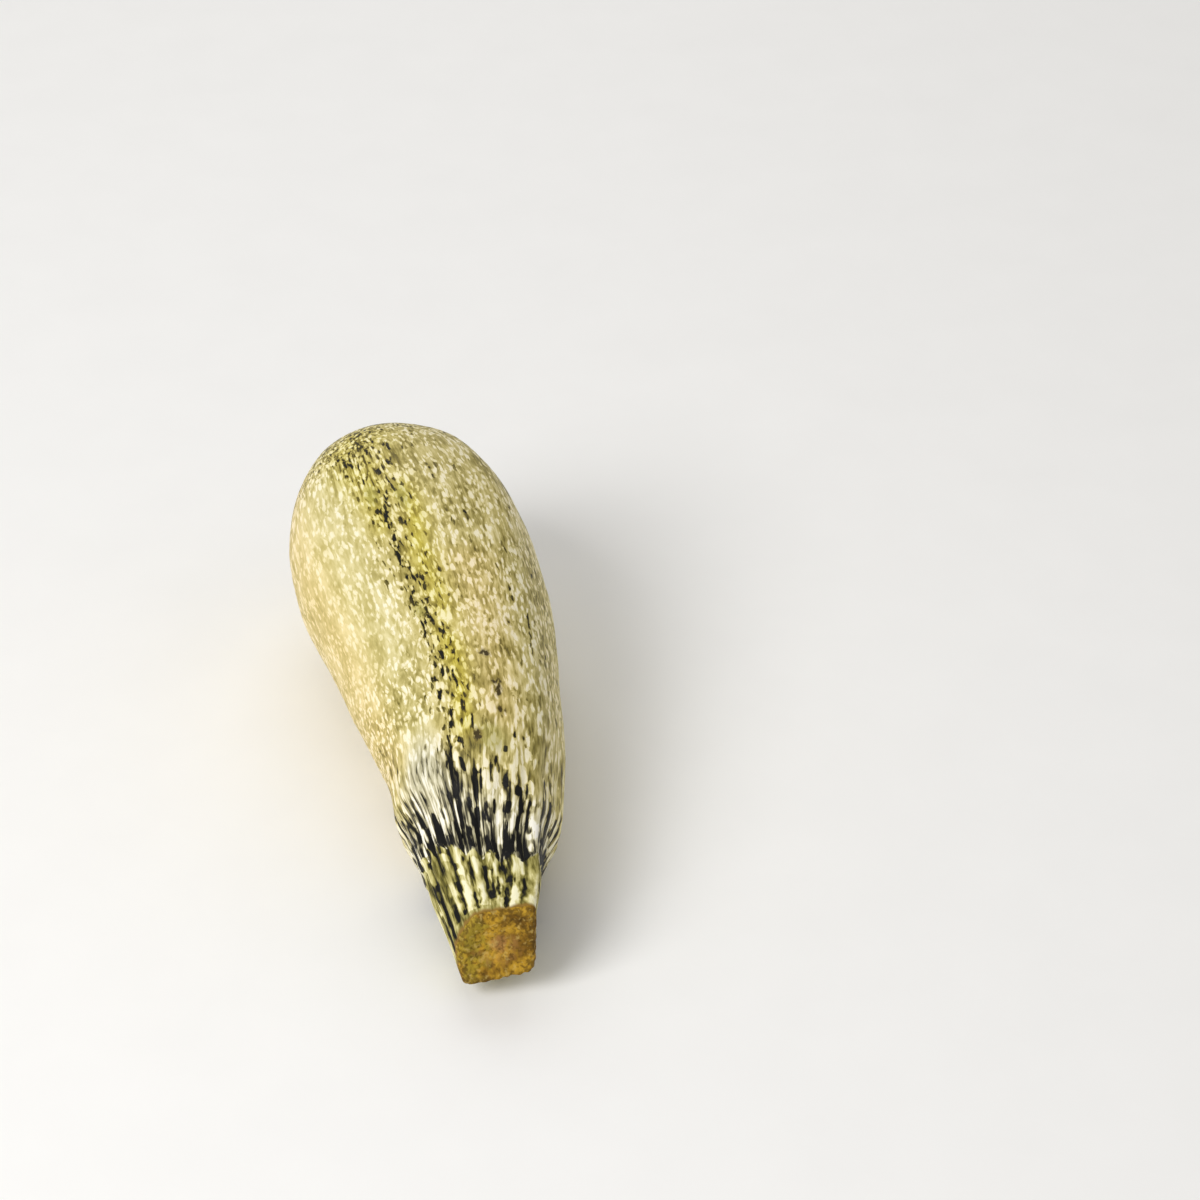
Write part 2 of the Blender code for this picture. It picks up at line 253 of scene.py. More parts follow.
# Single screen colours
OLIVE_PALE, OLIVE_DARK = (172, 164, 76), (84, 80, 28)
SPOT_HALO, SPOT_BROWN = (150, 132, 62), (66, 54, 20)
STEM_DRY = (140, 108, 44)
SCAR_DARK, SCAR_PALE, SCAR_RIM = (146, 112, 74), (206, 178, 138), (108, 82, 46)
CUT_DARK, CUT_OCHRE, CUT_GREEN = (120, 86, 16), (190, 148, 42), (158, 142, 44)
CUT_MIDDLE, CUT_BELOW, CUT_RIM = (186, 136, 78), (96, 64, 22), (80, 58, 16)
CUT_FIBRE = (200, 172, 96)


def smooth(value, low, high):
    """0 up to low, 1 from high on, and a smooth rise between them."""
    share = np.clip((value - low) / (high - low), 0, 1)
    return share * share * (3 - 2 * share)


def window(value, low, high, edge):
    """1 between low and high, with a smooth fall to 0 over the edge's width on both sides."""
    return smooth(value, low - edge, low) * (1 - smooth(value, high, high + edge))


def angle_from(around, degrees):
    """Angle in radians from a direction round the axis, from -pi to pi."""
    return (around - np.radians(degrees) + math.pi) % math.tau - math.pi


def relief(points, height, size, seed):
    """Seeded waves through space of about that size, up to about the height to both sides of 0."""
    draw = np.random.default_rng(seed)
    total = np.zeros(points.shape[:-1])
    for _ in range(RELIEF_WAVES):
        direction = draw.normal(size=3)
        pace = math.tau * direction / np.linalg.norm(direction) / (size * draw.uniform(0.7, 1.5))
        total += np.cos(points @ pace + draw.uniform(0, math.tau))
    return height * total / math.sqrt(RELIEF_WAVES)


def curve_through(points):
    """Points on a Catmull-Rom curve through these points."""
    points = np.array(points, float)
    ends = np.vstack([2 * points[0] - points[1], points, 2 * points[-1] - points[-2]])
    t = np.arange(CURVE_STEPS)[:, None] / CURVE_STEPS
    spans = []
    for before, start, end, after in zip(ends, ends[1:], ends[2:], ends[3:]):
        slope = (end - before) * t
        bend = (2 * before - 5 * start + 4 * end - after) * t**2
        twist = (3 * start - before - 3 * end + after) * t**3
        spans.append(start + (slope + bend + twist) / 2)
    return np.vstack([*spans, points[-1:]])


def ring_spacing(along):
    """Distance between rings: close over the shoulder and stem, wider on the plain skin."""
    at_stem, at_scar = smooth(along, 96, 114), 1 - smooth(along, 0, 8)
    return WIDE_SPACING - CLOSER_AT_STEM * at_stem - CLOSER_AT_SCAR * at_scar


def outline():
    """(along, radius, length of skin from the scar, whether on the cut) of each ring."""
    parts = (SCAR_OUTLINE, BODY_OUTLINE + SHOULDER_OUTLINE, STEM_OUTLINE, CUT_OUTLINE)
    curves = [curve_through(points) for points in parts]
    line = np.vstack(curves)
    skin = np.concatenate([[0], np.cumsum(np.hypot(*np.diff(line, axis=0).T))])
    cut_start = skin[-len(curves[-1]) - 1]
    places = [0.0]
    while places[-1] < skin[-1]:
        places.append(places[-1] + float(ring_spacing(np.interp(places[-1], skin, line[:, 0]))))
    places = np.array(places[:-1] + [skin[-1]])
    places[np.argmin(abs(places - cut_start))] = cut_start
    along, radius = (np.interp(places, skin, line[:, side]) for side in (0, 1))
    return along, radius, places, places > cut_start


def ring_angles():
    """(angle round the axis in radians, place among the ridges) of each vertex of a ring."""
    starts = [corner for corner, _ in CORNERS]
    counts = np.cumsum((0, *RIDGES_AFTER_CORNER))
    place = np.arange(RIDGES * STEPS_PER_RIDGE) / STEPS_PER_RIDGE
    return np.radians(np.interp(place, counts, starts + [starts[0] + 360])), place


def corner_reach(around):
    """Radius of the five-sided outline with rounded corners, as a share of the round one."""
    total = 0
    for (start, start_reach), (end, end_reach) in zip(CORNERS, CORNERS[1:] + CORNERS[:1]):
        width = math.radians((end - start) % 360)
        turned = around - math.radians(start)
        closeness = np.sin(width - turned) / start_reach + np.sin(turned) / end_reach
        total = total + np.maximum(0, closeness / math.sin(width)) ** CORNER_SHARPNESS
    return total ** (-1 / CORNER_SHARPNESS)


def ridge_wave(along, place):
    """1 on a ridge's broad crest and -1 in a narrow groove, with grooves that wander and differ in depth."""
    groove = np.floor(place)
    wander = 0.09 * np.sin(along / 6 + 2.3 * groove) * np.sin(math.pi * (place % 1)) ** 2
    raised = 0.5 + 0.5 * np.cos(math.tau * (place + wander))
    depth = 0.86 + 0.14 * np.sin(along / 9 + 4.1 * groove)
    return 1 - depth * (2 - 2 * raised**0.55)


def side_offset(along):
    """How far the axis lies towards +Y: one long bow, with a turn at each end and a slight neck."""
    share = along / LENGTH
    neck = np.clip((along - NECK_START) / (LENGTH - NECK_START), 0, 1)
    bow = SIDE_BEND * np.sin(math.pi * share) + SIDE_SWAY * np.sin(math.tau * share)
    ends = TIP_SWING * (1 - share) ** TIP_SWING_POWER + STEM_SWING * share**STEM_SWING_POWER
    return bow + ends - NECK_BOW * np.sin(math.pi * neck) ** 2


def axis_at(along):
    """(point, direction, sideways) of the fruit's axis, before the fruit is laid down."""
    slope = (side_offset(along + SLOPE_STEP) - side_offset(along - SLOPE_STEP)) / (2 * SLOPE_STEP)
    level = np.zeros_like(along)
    direction = np.stack([np.ones_like(along), slope, level], -1)
    direction /= np.linalg.norm(direction, axis=-1, keepdims=True)
    sideways = np.stack([-direction[..., 1], direction[..., 0], level], -1)
    return np.stack([along, side_offset(along), level], -1), direction, sideways


def reach_of(along, radius, around, crest):
    """Distance from the axis to the part's surface. crest is 1 on a ridge and -1 in a groove."""
    corners = BODY_CORNER_SHARE + (1 - BODY_CORNER_SHARE) * smooth(along, *CORNERS_SPAN)
    shaped = radius * (1 + corners * (corner_reach(around) - 1))
    ridges = smooth(along, *RIDGES_SPAN)
    ridge = RIDGE_HEIGHT * (1 - (1 - RIDGE_AT_CUT) * smooth(along, COLLAR, LENGTH))
    swells = 0
    for height, waves, count, phase in SWELLS:
        lengthwise = np.sin(math.tau * waves * along / LENGTH + phase)
        swells = swells + height * lengthwise * np.cos(count * around + phase)
    near_rim = smooth(radius, CUT_OUTLINE[0][1] - RIDGES_FADE, CUT_OUTLINE[0][1])
    return shaped + (ridge * crest * ridges + swells * (1 - ridges)) * near_rim


def shift_along(along, reach, around, crest):
    """How far a point moves along the axis, for the askew scalloped collar and the slanted cut."""
    after_cut = smooth(along, CUT_START, LENGTH)
    slanted = smooth(along, *SLANT_SPAN) * (1 - smooth(along, COLLAR, LENGTH))
    tongue = COLLAR_TONGUE * np.maximum(0, np.cos(angle_from(around, TONGUE_TURN))) ** 2
    scallops = SCALLOP * crest * np.maximum(0, 1 - abs(along - COLLAR) / SCALLOP_WIDTH)
    cut = math.tan(math.radians(CUT_SLANT)) * reach * np.cos(angle_from(around, CUT_SLANT_TURN)) * after_cut
    return (COLLAR_SLANT * np.sin(around) + tongue) * slanted - scallops - cut


def rib_marks(draw, angle):
    """Broken dark dashes down a rib."""
    found = []
    place, end = RIB_SPAN
    while place < end:
        length = draw.uniform(*RIB_DASH)
        turned, width = angle + draw.normal(0, 2.2), draw.uniform(0.6, 1.1)
        turn, strength = draw.uniform(-1, 1), draw.uniform(0.55, 1)
        found.append((place, place + length, turned, turn, width, strength))
        place += length * draw.uniform(0.2, 1) + draw.uniform(*RIB_GAP)
    return found


def streak_marks(draw):
    """(dark, pale) streaks over the shoulder and down the stem where the photo doesn't show the fruit."""
    dark, pale = [], []
    angle = HIDDEN_FROM
    while angle < HIDDEN_TO:
        start, length = draw.uniform(114, 125), draw.uniform(5, 12)
        turn, width = draw.uniform(-2, 2), draw.uniform(0.5, 1)
        dark.append((start, min(start + length, 134), angle, turn, width, 1))
        low, turned, width = draw.uniform(127, 131), angle + draw.normal(0, 2), draw.uniform(0.8, 1.3)
        dark.append((low, COLLAR, turned, 0, width, 1))
        turned, width = angle + draw.uniform(2.5, 4), draw.uniform(0.7, 1.1)
        pale.append((start + 1, start + length, turned, 0, width, 1))
        down, length = draw.uniform(138, 150), draw.uniform(2, 7)
        turned, width = angle + draw.normal(0, 2), draw.uniform(0.6, 1.2)
        dark.append((down, down + length, turned, 0, width, 0.9))
        down, turned, width = draw.uniform(138, 148), angle + draw.uniform(2.5, 4), draw.uniform(0.8, 1.4)
        pale.append((down, 156, turned, 0, width, 0.8))
        angle += draw.uniform(*STREAK_SPACING)
    return dark, pale


def all_marks():
    """(dark marks, pale marks) of the whole fruit."""
    draw = np.random.default_rng(MARKS_SEED)
    dark, pale = streak_marks(draw)
    for angle in OTHER_RIBS:
        dark += rib_marks(draw, angle)
    return [*DARK_MARKS, *dark], [*PALE_MARKS, *pale]


def on_marks(along, around, radius, marks):
    """How much each point lies on a mark, from 0 beside it to its strength along its middle."""
    found = np.zeros(np.broadcast(along, around).shape)
    for start, end, angle, turn, width, strength in marks:
        share = np.clip((along - start) / (end - start), 0, 1)
        edge = min(MARK_EDGE, MARK_EDGE_SHARE * (end - start))
        wander = MARK_WANDER * np.sin(along * MARK_WANDER_PACE + angle)
        across = angle_from(around, angle + turn * share) * radius + wander
        line = strength * np.exp(-((across / width) ** 2))
        found = np.maximum(found, line * window(along, start + edge / 2, end - edge / 2, edge))
    return found


def bump(around, centre, width):
    """1 at the centre angle in degrees, falling away over the width in radians on both sides."""
    return np.exp(-((angle_from(around, centre) / width) ** 2))


def past_shoulder(along, around):
    """0 on the plain skin to 1 on the streaked shoulder, which is longest on its upper and pale sides."""
    start = 126 - 10 * bump(around, UPPER_SIDE, 0.65) - 10 * bump(around, PALE_SIDE, 0.4)
    return smooth(along - start, -9, 8)


def greyness(along, around):
    """0 on the tan skin to 1 where it turns whitish grey: early beside the main rib, late elsewhere."""
    start = 127 - 4 * bump(around, UPPER_SIDE, 0.6) - 14 * bump(around, PALE_SIDE, 0.42)
    return smooth(along - start, -8, 7)


def streaks(along, around):
    """How strongly long streaks show: in a wedge from the scar, down the +Y side and over the shoulder."""
    pale_part = 0.65 * bump(around, *PALE_PART) * (1 - smooth(along, 122, 130))
    wedge = 0.7 * bump(around, -22, 0.42 - 0.26 * smooth(along, 14, 42)) * window(along, 7, 36, 6)
    shoulder = (0.25 * smooth(along, 88, 112) + 0.75 * past_shoulder(along, around)) * (1 - pale_part)
    side = 0.3 * window(angle_from(around, 60), -0.8, 0.9, 0.4) * window(along, 40, 110, 15)
    return np.max([wedge, shoulder, side], axis=0)


def on_spots(along, around, radius, spots):
    """How much each point lies on a spot: its strength in its middle, fading outwards."""
    found = 0
    for at, angle, length, width, strength in spots:
        across = angle_from(around, angle) * radius
        found = found + strength * np.exp(-(((along - at) / length) ** 2) - (across / width) ** 2)
    return found


def deep_ground(along, around):
    """How dark the ground is: most around the scar and at the collar, and along the main rib."""
    blossom_end = 16 + 22 * bump(around, -20, 0.3)
    blossom = (0.06 + 0.07 * bump(around, -20, 0.5)) * (1 - smooth(along, 5, blossom_end))
    middle = bump(around, 15, 0.6)
    shoulder = (0.04 + 0.1 * middle) * past_shoulder(along, around) + 0.18 * smooth(along, 130, 135)
    olive_rib = 0.09 * bump(around, -17, 0.11) * window(along, 18, 112, 8)
    # Less dark where the skin is paler, partly its own tone and partly painted light and glare on the -Y
    # side
    return np.maximum(blossom, shoulder) + olive_rib - pale_skin_and_glare(along, around)


def pale_skin_and_glare(along, around):
    """How much paler the skin is: over the flank to -Y and in front of the shoulder beside the main rib,
    partly its own paler tone and partly painted light and glare on the side the key light comes from.
    """
    flank = 0.05 * window(angle_from(around, -80), -0.7, 0.7, 0.5) * window(along, 30, 84, 14)
    return flank + 0.08 * bump(around, PALE_SIDE, 0.32) * window(along, 110, 128, 6)


def contrast_of(along, around):
    """How strongly the flecks show: weakly on the flank to -Y, strongly at the ends."""
    flank = 0.5 * bump(around, -65, 0.7) * window(along, 35, 82, 14)
    pale_part = 0.5 * bump(around, *PALE_PART) * window(along, 110, 128, 6)
    return 1.0 - flank - pale_part + 0.1 * smooth(along, 100, 120)


def speckle_zone(along, around):
    """How many of the cells carry a dark fleck, from 0 to 1."""
    spread = 0.34 - 0.14 * smooth(along, 20, 50)
    main = (0.4 + 0.25 * smooth(along, 24, 44)) * bump(around, -16, spread) * window(along, 8, 112, 6)
    on_others = window(along, 16, 116, 10)
    others = [0.4 * bump(around, rib, 0.2) * on_others for rib in OTHER_RIBS]
    side = 0.1 * window(angle_from(around, 100), -1.7, 1.5, 0.4)
    ends = 0.5 * (1 - smooth(along, 12, 26)) + 0.1 * smooth(along, 104, 120)
    return np.max([main, *others, side + 0 * along, ends + 0 * around], axis=0)


def warm_tan_and_glow_zone(along, around):
    """0 to 1 where the skin is a warmer tan: the upper side before the shoulder, and the flank to -Y, where
    it is partly the skin's own tan and partly a painted warm glow of bounced light.
    """
    # The lower -Y flank: partly the skin's own tan, partly painted warm bounce light
    flank = 0.5 * window(angle_from(around, -105), -0.5, 0.5, 0.5)
    upper = 0.45 * bump(around, UPPER_SIDE, 0.26) * window(along, 66, 104, 8)
    return np.maximum(flank, upper) * (1 - smooth(along, 112, 124))


def cool_zone(along, around):
    """0 to 1 where the skin is a greyer green: beside the main rib, and in a narrow band on the +Y side."""
    left = 0.8 * bump(around, PALE_SIDE, 0.25) * window(along, 28, 116, 10)
    return np.maximum(left, 0.6 * bump(around, 38, 0.12) * window(along, 66, 110, 8))


def yellow_zone(along, around):
    """0 to 1 over the yellow-green band beside the main rib, and weakly down the +Y side."""
    wedge = 0.7 * bump(around, -20, 0.34 - 0.2 * smooth(along, 20, 48)) * window(along, 16, 50, 8)
    band = bump(around, -8, 0.15) * window(along, 44, 106, 10)
    turned = angle_from(around, 0)
    side = 0.35 * smooth(turned, 0.9, 1.5) * (1 - smooth(turned, 2.2, 3))
    return np.maximum(np.maximum(wedge, band), side)


def grain_places(along, around, places):
    """A place in a made-up solid whose cells are fleck-sized on the skin, and drawn out at both ends."""
    reach = 26 - 10 * smooth(along, 56, 126) - 11 * (1 - smooth(along, 2, 26))
    stretch = 2.2 + 2.2 * smooth(along, 98, 122) + 1.8 * (1 - smooth(along, 4, 44))
    steps = np.diff(places, prepend=places[0])
    drawn = np.cumsum(steps / stretch)
    flat = np.broadcast_to(drawn[:, None], (len(drawn), len(around)))
    return np.stack([reach[:, None] * np.cos(around), reach[:, None] * np.sin(around), flat], -1)


def collar_lip(along, crest):
    """Height of the skin's frilled edge, which stands over the stem at the end of each ridge."""
    rise = smooth(along, 126, 134.5) * (1 - smooth(along, 136.2, 137.6))
    return LIP_HEIGHT * rise * (0.55 + 0.45 * crest)


def fine_relief(along, radius, around, crest, face, on_cut):
    """(outwards, along) moves of each point for relief finer than the part's own."""
    body = smooth(radius, 8, 12) * (1 - smooth(along, 126, COLLAR))
    outwards = body * (relief(face, *SKIN_WAVES) + relief(face, *SKIN_DIMPLES)) + collar_lip(along, crest)
    grooves = on_marks(along, around, radius, all_marks()[0]) * smooth(along, 108, 116)
    outwards = outwards - STREAK_RELIEF * grooves
    outwards = outwards - SPOT_DEPTH * on_spots(along, around, radius, BROWN_SPOTS)
    on_scar = (1 - smooth(radius, 5, 7.5)) * (along < 20)
    shift = np.where(on_cut, -CUT_FIBRES[0] - relief(face, *CUT_FIBRES), 0)
    return outwards, shift + on_scar * (SCAR_WRINKLES[0] + relief(face, *SCAR_WRINKLES))


def surface_points(along, radius, around, place, on_cut):
    """Points of the whole surface before the fruit is laid down, and what the materials read there."""
    crest = ridge_wave(along, place)
    reach = reach_of(along, radius, around, crest)
    centre, direction, sideways = axis_at(along)
    shift = shift_along(along, reach, around, crest)
    face = np.stack([reach * np.cos(around), reach * np.sin(around), along], -1)
    more_out, more_along = fine_relief(along, radius, around, crest, face, on_cut)
    outwards = np.cos(around)[..., None] * np.array((0, 0, 1)) + np.sin(around)[..., None] * sideways
    points = centre + outwards * (reach + more_out)[..., None] + direction * (shift + more_along)[..., None]
    return points, crest, face


def lay_down(points):
    """Tips the fruit to how it rests, presses its lowest skin flat and fits it into the part's box."""
    dip = np.array(Matrix.Rotation(math.radians(RESTING_DIP), 3, "Y"))
    points = points @ dip.T
    points[:, 2] -= points[:, 2].min() + FLAT_SPOT_DEPTH
    points[:, 2] = np.maximum(points[:, 2], 0)
    low, high = (np.array(corner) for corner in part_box(NODE))
    own_low, own_high = points.min(axis=0), points.max(axis=0)
    return low + (points - own_low) / (own_high - own_low) * (high - low)


def ring_faces(rings, steps):
    """Quads between the rings, numbered ring by ring, and a fan at each end."""
    ring = np.arange(rings - 1)[:, None] * steps
    step, following = np.arange(steps), (np.arange(steps) + 1) % steps
    quads = np.stack([ring + step, ring + following, ring + steps + following, ring + steps + step], -1)
    last = (rings - 1) * steps
    first_fan = [(rings * steps, int(b), int(a)) for a, b in zip(step, following)]
    last_fan = [(rings * steps + 1, int(last + a), int(last + b)) for a, b in zip(step, following)]
    return [tuple(quad) for quad in quads.reshape(-1, 4).tolist()] + first_fan + last_fan


def with_middles(values):
    """A value for each vertex: the rings' own, and the mean of each end ring for its middle."""
    flat = values.reshape(-1, *values.shape[2:])
    return np.concatenate([flat, values[:1].mean(axis=1), values[-1:].mean(axis=1)])


def give(mesh, name, values):
    """Stores a number or a vector for each vertex under this name."""
    if values.ndim == 1:
        mesh.attributes.new(name, "FLOAT", "POINT").data.foreach_set("value", values.astype(np.float32))
    else:
        attribute = mesh.attributes.new(name, "FLOAT_VECTOR", "POINT")
        attribute.data.foreach_set("vector", values.astype(np.float32).ravel())


def pattern_values(along, around, radius):
    """Everything about the skin's pattern that the rind's material reads, by its name."""
    dark, pale = all_marks()
    return {
        "deep": deep_ground(along, around),
        "contrast": contrast_of(along, around),
        "dark": on_marks(along, around, radius, dark),
        "pale": on_marks(along, around, radius, pale),
        "grey": greyness(along, around),
        "streaks": streaks(along, around),
        "speckle": speckle_zone(along, around),
        "warm_tan_and_glow": warm_tan_and_glow_zone(along, around),
        "cool": cool_zone(along, around),
        "brown": on_spots(along, around, radius, BROWN_SPOTS),
        "olive": on_spots(along, around, radius, OLIVE_PATCHES),
        "yellow": yellow_zone(along, around),
    }


def make_fruit(materials):
    """The whole fruit as one closed mesh, with the rind and the cut face as its materials."""
    along, radius, places, cut = outline()
    around, place = ring_angles()
    shape = (len(along), len(around))
    columns = (along[:, None], radius[:, None], places[:, None], around, place)
    every_along, every_radius, from_scar, every_around, every_place = (
        np.broadcast_to(column, shape) for column in columns
    )
    points, crest, face = surface_points(every_along, every_radius, every_around, every_place, cut[:, None])
    values = {
        "grain": grain_places(along, around, places),
        "face": face,
        "crest": crest,
        "past_collar": every_along - COLLAR,
        "from_scar": from_scar,
        **pattern_values(every_along, every_around, every_radius),
    }
    mesh = bpy.data.meshes.new("zucchini_fruit")
    mesh.from_pydata(lay_down(with_middles(points)), [], ring_faces(*shape))
    for name, value in values.items():
        give(mesh, name, with_middles(value))
    for material in materials:
        mesh.materials.append(material)
    cut_faces = np.repeat(cut[1:], len(around)).tolist() + [False] * len(around) + [True] * len(around)
    mesh.polygons.foreach_set("material_index", np.array(cut_faces, dtype=np.int32))
    mesh.shade_smooth()
    mesh.validate()
    fruit = bpy.data.objects.new("zucchini_fruit", mesh)
    bpy.context.scene.collection.objects.link(fruit)
    return fruit


def srgb(red, green, blue):
    """A colour from its 0 to 255 screen values."""
    shares = np.array((red, green, blue)) / 255
    linear = np.where(shares <= 0.04045, shares / 12.92, ((shares + 0.055) / 1.055) ** 2.4)
    return (*linear.tolist(), 1)


class Pattern:
    """Short names for the nodes of one material."""

    def __init__(self, name):
        self.material = bpy.data.materials.new(name)
        self.material.use_nodes = True
        self.nodes = self.material.node_tree.nodes
        self.links = self.material.node_tree.links
        self.shader = self.nodes["Principled BSDF"]

    def put(self, socket, value):
        """Links an output into the socket, or sets the socket to a number or a colour."""
        if isinstance(value, bpy.types.NodeSocket):
            self.links.new(value, socket)
        else:
            socket.default_value = value

    def node(self, kind, settings=(), **inputs):
        """A node with these settings and these named inputs."""
        made = self.nodes.new("ShaderNode" + kind)
        for name, value in dict(settings).items():
            setattr(made, name, value)
        for name, value in inputs.items():
            self.put(made.inputs[name.replace("_", " ")], value)
        return made

    def number(self, name):
        return self.node("Attribute", {"attribute_name": name}).outputs["Fac"]

    def vector(self, name):
        return self.node("Attribute", {"attribute_name": name}).outputs["Vector"]

    def math(self, operation, *values):
        made = self.node("Math", {"operation": operation})
        for socket, value in zip(made.inputs, values):
            self.put(socket, value)
        return made.outputs[0]

    def plus(self, first, second):
        return self.math("ADD", first, second)

    def times(self, first, second):
        return self.math("MULTIPLY", first, second)

    def spread(self, vector, scale):
        """The vector with each part multiplied by its own number."""
        made = self.node("VectorMath", {"operation": "MULTIPLY"})
        self.put(made.inputs[0], vector)
        self.put(made.inputs[1], scale)
        return made.outputs[0]

    def moved(self, vector, by, amount):
        """The vector moved by a noise colour, up to this amount to each side."""
        centred = self.node("VectorMath", {"operation": "SUBTRACT"})
        self.put(centred.inputs[0], by)
        self.put(centred.inputs[1], (0.5, 0.5, 0.5))
        scaled = self.spread(centred.outputs[0], (2 * amount,) * 3)
        total = self.node("VectorMath", {"operation": "ADD"})
        self.put(total.inputs[0], vector)
        self.put(total.inputs[1], scaled)
        return total.outputs[0]

    def rise(self, value, low, high, start=0.0, end=1.0):
        """start up to low and end from high on, with a smooth change between them."""
        ends = {"From_Min": low, "From_Max": high, "To_Min": start, "To_Max": end}
        made = self.node("MapRange", {"interpolation_type": "SMOOTHSTEP"}, Value=value, **ends)
        return made.outputs["Result"]

    def noise(self, vector, size, detail):
        return self.node("TexNoise", Vector=vector, Scale=1 / size, Detail=detail)

    def cells(self, vector, size):
        return self.node("TexVoronoi", Vector=vector, Scale=1 / size)

    def ramp(self, value, tones):
        """A colour that runs through these tones as the value rises."""
        made = self.node("ValToRGB", Fac=value)
        stops = made.color_ramp.elements
        while len(stops) < len(tones):
            stops.new(0.5)
        for stop, (level, colour) in zip(stops, tones):
            stop.position, stop.color = level, srgb(*colour)
        return made.outputs["Color"]

    def mix(self, share, low, high, blend="MIX"):
        """The colour low where share is 0 and high where it is 1."""
        made = self.node("Mix", {"data_type": "RGBA", "blend_type": blend})
        self.put(made.inputs[0], share)
        self.put(made.inputs[6], low)
        self.put(made.inputs[7], high)
        return made.outputs[2]

    def tinted(self, colour, share, tint):
        """The colour multiplied by the tint, as far as the share says."""
        return self.mix(share, colour, tint, "MULTIPLY")

    def finish(self, colour, roughness, height, depth):
        """Sends the colour, roughness and height to the shader. depth is the bump's, in millimetres."""
        bump = self.node("Bump", Height=height, Strength=1.0, Distance=depth * MM)
        self.put(self.shader.inputs["Base Color"], colour)
        self.put(self.shader.inputs["Roughness"], roughness)
        self.put(self.shader.inputs["Specular IOR Level"], SHINE)
        self.put(self.shader.inputs["Normal"], bump.outputs[0])
        return self.material


def flecks(rind):
    """(0 in a pale fleck to 1 between the flecks, the bent grain, fine fibres along the fruit)."""
    grain = rind.vector("grain")
    warp = rind.noise(grain, 1.8, 3)
    warped = rind.moved(grain, warp.outputs["Color"], FLECK_BEND)
    cells = rind.cells(warped, FLECK_SIZE)
    fibre = rind.noise(rind.spread(warped, (1, 1, 0.6)), FIBRE_SIZE, 3).outputs["Fac"]
    group = rind.noise(warped, GROUP_SIZE, 2).outputs["Fac"]
    chance = rind.node("SeparateColor", Color=cells.outputs["Color"]).outputs[0]
    inside = rind.plus(cells.outputs["Distance"], rind.rise(fibre, 0.25, 0.75, -0.2, 0.2))
    dot = rind.rise(rind.plus(inside, rind.times(chance, 0.35)), 0.38, 0.7)
    tone = rind.plus(rind.times(dot, 0.35), rind.rise(fibre, 0.25, 0.75, -0.12, 0.12))
    return rind.plus(tone, rind.rise(group, 0.25, 0.75, -0.12, 0.14)), warped, fibre


def dark_flecks(rind, warped, fibre):
    """0 to 1 on small dark flecks, close together on the ribs and at the ends and rare elsewhere."""
    cells = rind.cells(rind.spread(warped, (1, 1, 0.8)), DARK_FLECK_SIZE)
    chance = rind.node("SeparateColor", Color=cells.outputs["Color"]).outputs[1]
    inside = rind.plus(cells.outputs["Distance"], rind.rise(fibre, 0.25, 0.75, 0.25, -0.25))
    spot = rind.rise(inside, 0.5, 0.34)
    return rind.times(spot, rind.rise(rind.plus(chance, rind.number("speckle")), 0.95, 1.15))


def with_marks(rind, level, fibre):
    """The level made darker on the dark marks and paler on the pale ones, with ragged edges."""
    ragged = rind.rise(fibre, 0.25, 0.75, -0.25, 0.25)
    dark = rind.rise(rind.plus(rind.number("dark"), ragged), 0.4, 1.0, 0, 0.6)
    pale = rind.rise(rind.plus(rind.number("pale"), ragged), 0.35, 0.9, 0, -0.3)
    return rind.plus(level, rind.plus(dark, pale))


def skin_colour(rind, tone, warped, fibre):
    """(colour, how dark) of the skin: pale flecks on an olive ground, with dark flecks, lines and marks."""
    patchy = rind.noise(warped, PATCH_SIZE, 3).outputs["Fac"]
    contrast = rind.times(rind.plus(tone, -0.25), rind.number("contrast"))
    ground = rind.plus(rind.number("deep"), rind.rise(patchy, 0.2, 0.8, 0.33, 0.48))
    drawn_out = rind.spread(rind.vector("grain"), (1, 1, LINE_STRETCH))
    lines = rind.noise(drawn_out, LINE_SIZE, 3).outputs["Fac"]
    lines = rind.times(rind.rise(lines, 0.36, 0.64, -0.26, 0.34), rind.number("streaks"))
    spots = rind.times(dark_flecks(rind, warped, fibre), 0.3)
    level = rind.plus(rind.plus(contrast, ground), rind.plus(lines, spots))
    level = with_marks(rind, level, fibre)
    yellow = rind.times(rind.number("yellow"), rind.rise(patchy, 0.3, 0.55, 0.35, 1))
    colour = rind.mix(yellow, rind.ramp(level, SKIN_TONES), rind.ramp(level, YELLOW_TONES))
    colour = rind.mix(rind.number("grey"), colour, rind.ramp(level, SHOULDER_TONES))
    # Warmer tan, and on the -Y flank partly a painted warm glow of bounced light
    colour = rind.tinted(colour, rind.number("warm_tan_and_glow"), WARM_TAN_AND_GLOW_TINT)
    return rind.tinted(colour, rind.number("cool"), COOL_TINT), level


def blemished(rind, colour, level):
    """The skin with its olive patches and brown spots."""
    ragged = rind.noise(rind.spread(rind.vector("face"), (1, 1, 0.6)), 0.8, 3).outputs["Fac"]
    olive = rind.mix(rind.rise(level, 0.3, 0.9), srgb(*OLIVE_PALE), srgb(*OLIVE_DARK))
    colour = rind.mix(rind.rise(rind.number("olive"), 0.1, 0.8, 0, 0.6), colour, olive)
    brown = rind.times(rind.number("brown"), rind.rise(ragged, 0.25, 0.7, 0.35, 1.5))
    colour = rind.mix(rind.rise(brown, 0.05, 0.5, 0, 0.7), colour, srgb(*SPOT_HALO))
    return rind.mix(rind.rise(brown, 0.36, 0.75), colour, srgb(*SPOT_BROWN))


